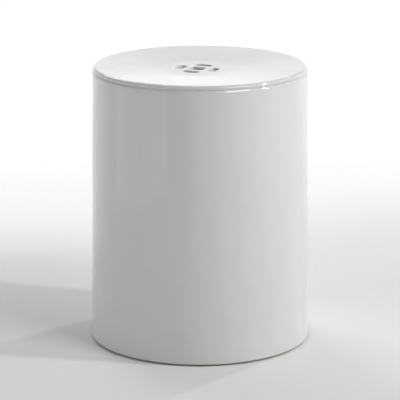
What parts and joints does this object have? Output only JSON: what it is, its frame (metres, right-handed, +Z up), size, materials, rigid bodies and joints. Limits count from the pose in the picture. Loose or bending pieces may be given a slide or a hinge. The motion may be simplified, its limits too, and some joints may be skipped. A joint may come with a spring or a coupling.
{
  "type": "garden stool",
  "caption": "Hollow glazed ceramic drum stool with a shallow dished seat, pierced by a cash-coin pattern that serves as a finger grip.",
  "frame": {"origin": "on the floor, at the middle of the bottom of the bounding box, on the drum's axis", "axes": "+Z up along the drum's axis; -Y towards the picture's camera; the coin pattern is turned about Z"},
  "size_m": [0.3567, 0.3566, 0.45],
  "materials": {
    "stoneware": "bare fired stoneware, matt",
    "white_glaze": "glossy white glaze",
    "slip": "bare fired slip, finger-smoothed",
    "felt": "pressed brown felt"
  },
  "bodies": {
    "root": {"seat_slab": "stoneware", "seat_glaze": "white_glaze", "drum_wall": "stoneware", "wall_glaze": "white_glaze", "base_ring": "stoneware", "seat_joint_slip": "slip", "base_joint_slip": "slip", "foot_pad_1": "felt", "foot_pad_2": "felt", "foot_pad_3": "felt", "foot_pad_4": "felt", "foot_pad_5": "felt", "foot_pad_6": "felt"}
  },
  "joints": []
}
